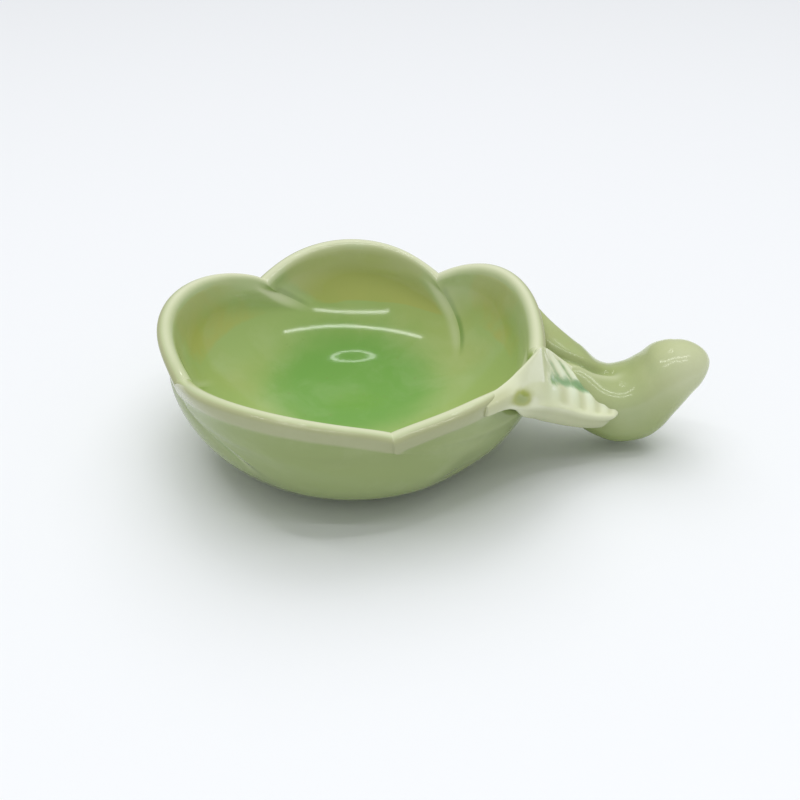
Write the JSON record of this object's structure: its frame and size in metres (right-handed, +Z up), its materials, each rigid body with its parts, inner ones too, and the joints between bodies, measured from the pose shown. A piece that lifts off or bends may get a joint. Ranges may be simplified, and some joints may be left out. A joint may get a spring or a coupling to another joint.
{
  "type": "sauce dish",
  "caption": "Small glazed ceramic sauce dish shaped as an open flower: overlapping petals round a shallow well on a foot ring, a curled stem as finger grip and a veined leaf over its root.",
  "frame": {"origin": "middle of the whole dish's footprint box, on the table it stands on", "axes": "+X from the bowl out along the stem, +Z up, so the leaf lies on the -Y side of the stem"},
  "size_m": [0.1282, 0.0896, 0.0327],
  "materials": {
    "celadon_glaze": "gloss",
    "pooled_glaze": "gloss",
    "bare_clay": "matte"
  },
  "bodies": {
    "root": {"petal_1": "celadon_glaze", "petal_2": "celadon_glaze", "petal_3": "celadon_glaze", "petal_4": "celadon_glaze", "petal_5": "celadon_glaze", "well": "pooled_glaze", "foot_ring": "bare_clay", "stem": "celadon_glaze", "leaf": "celadon_glaze"}
  },
  "joints": []
}
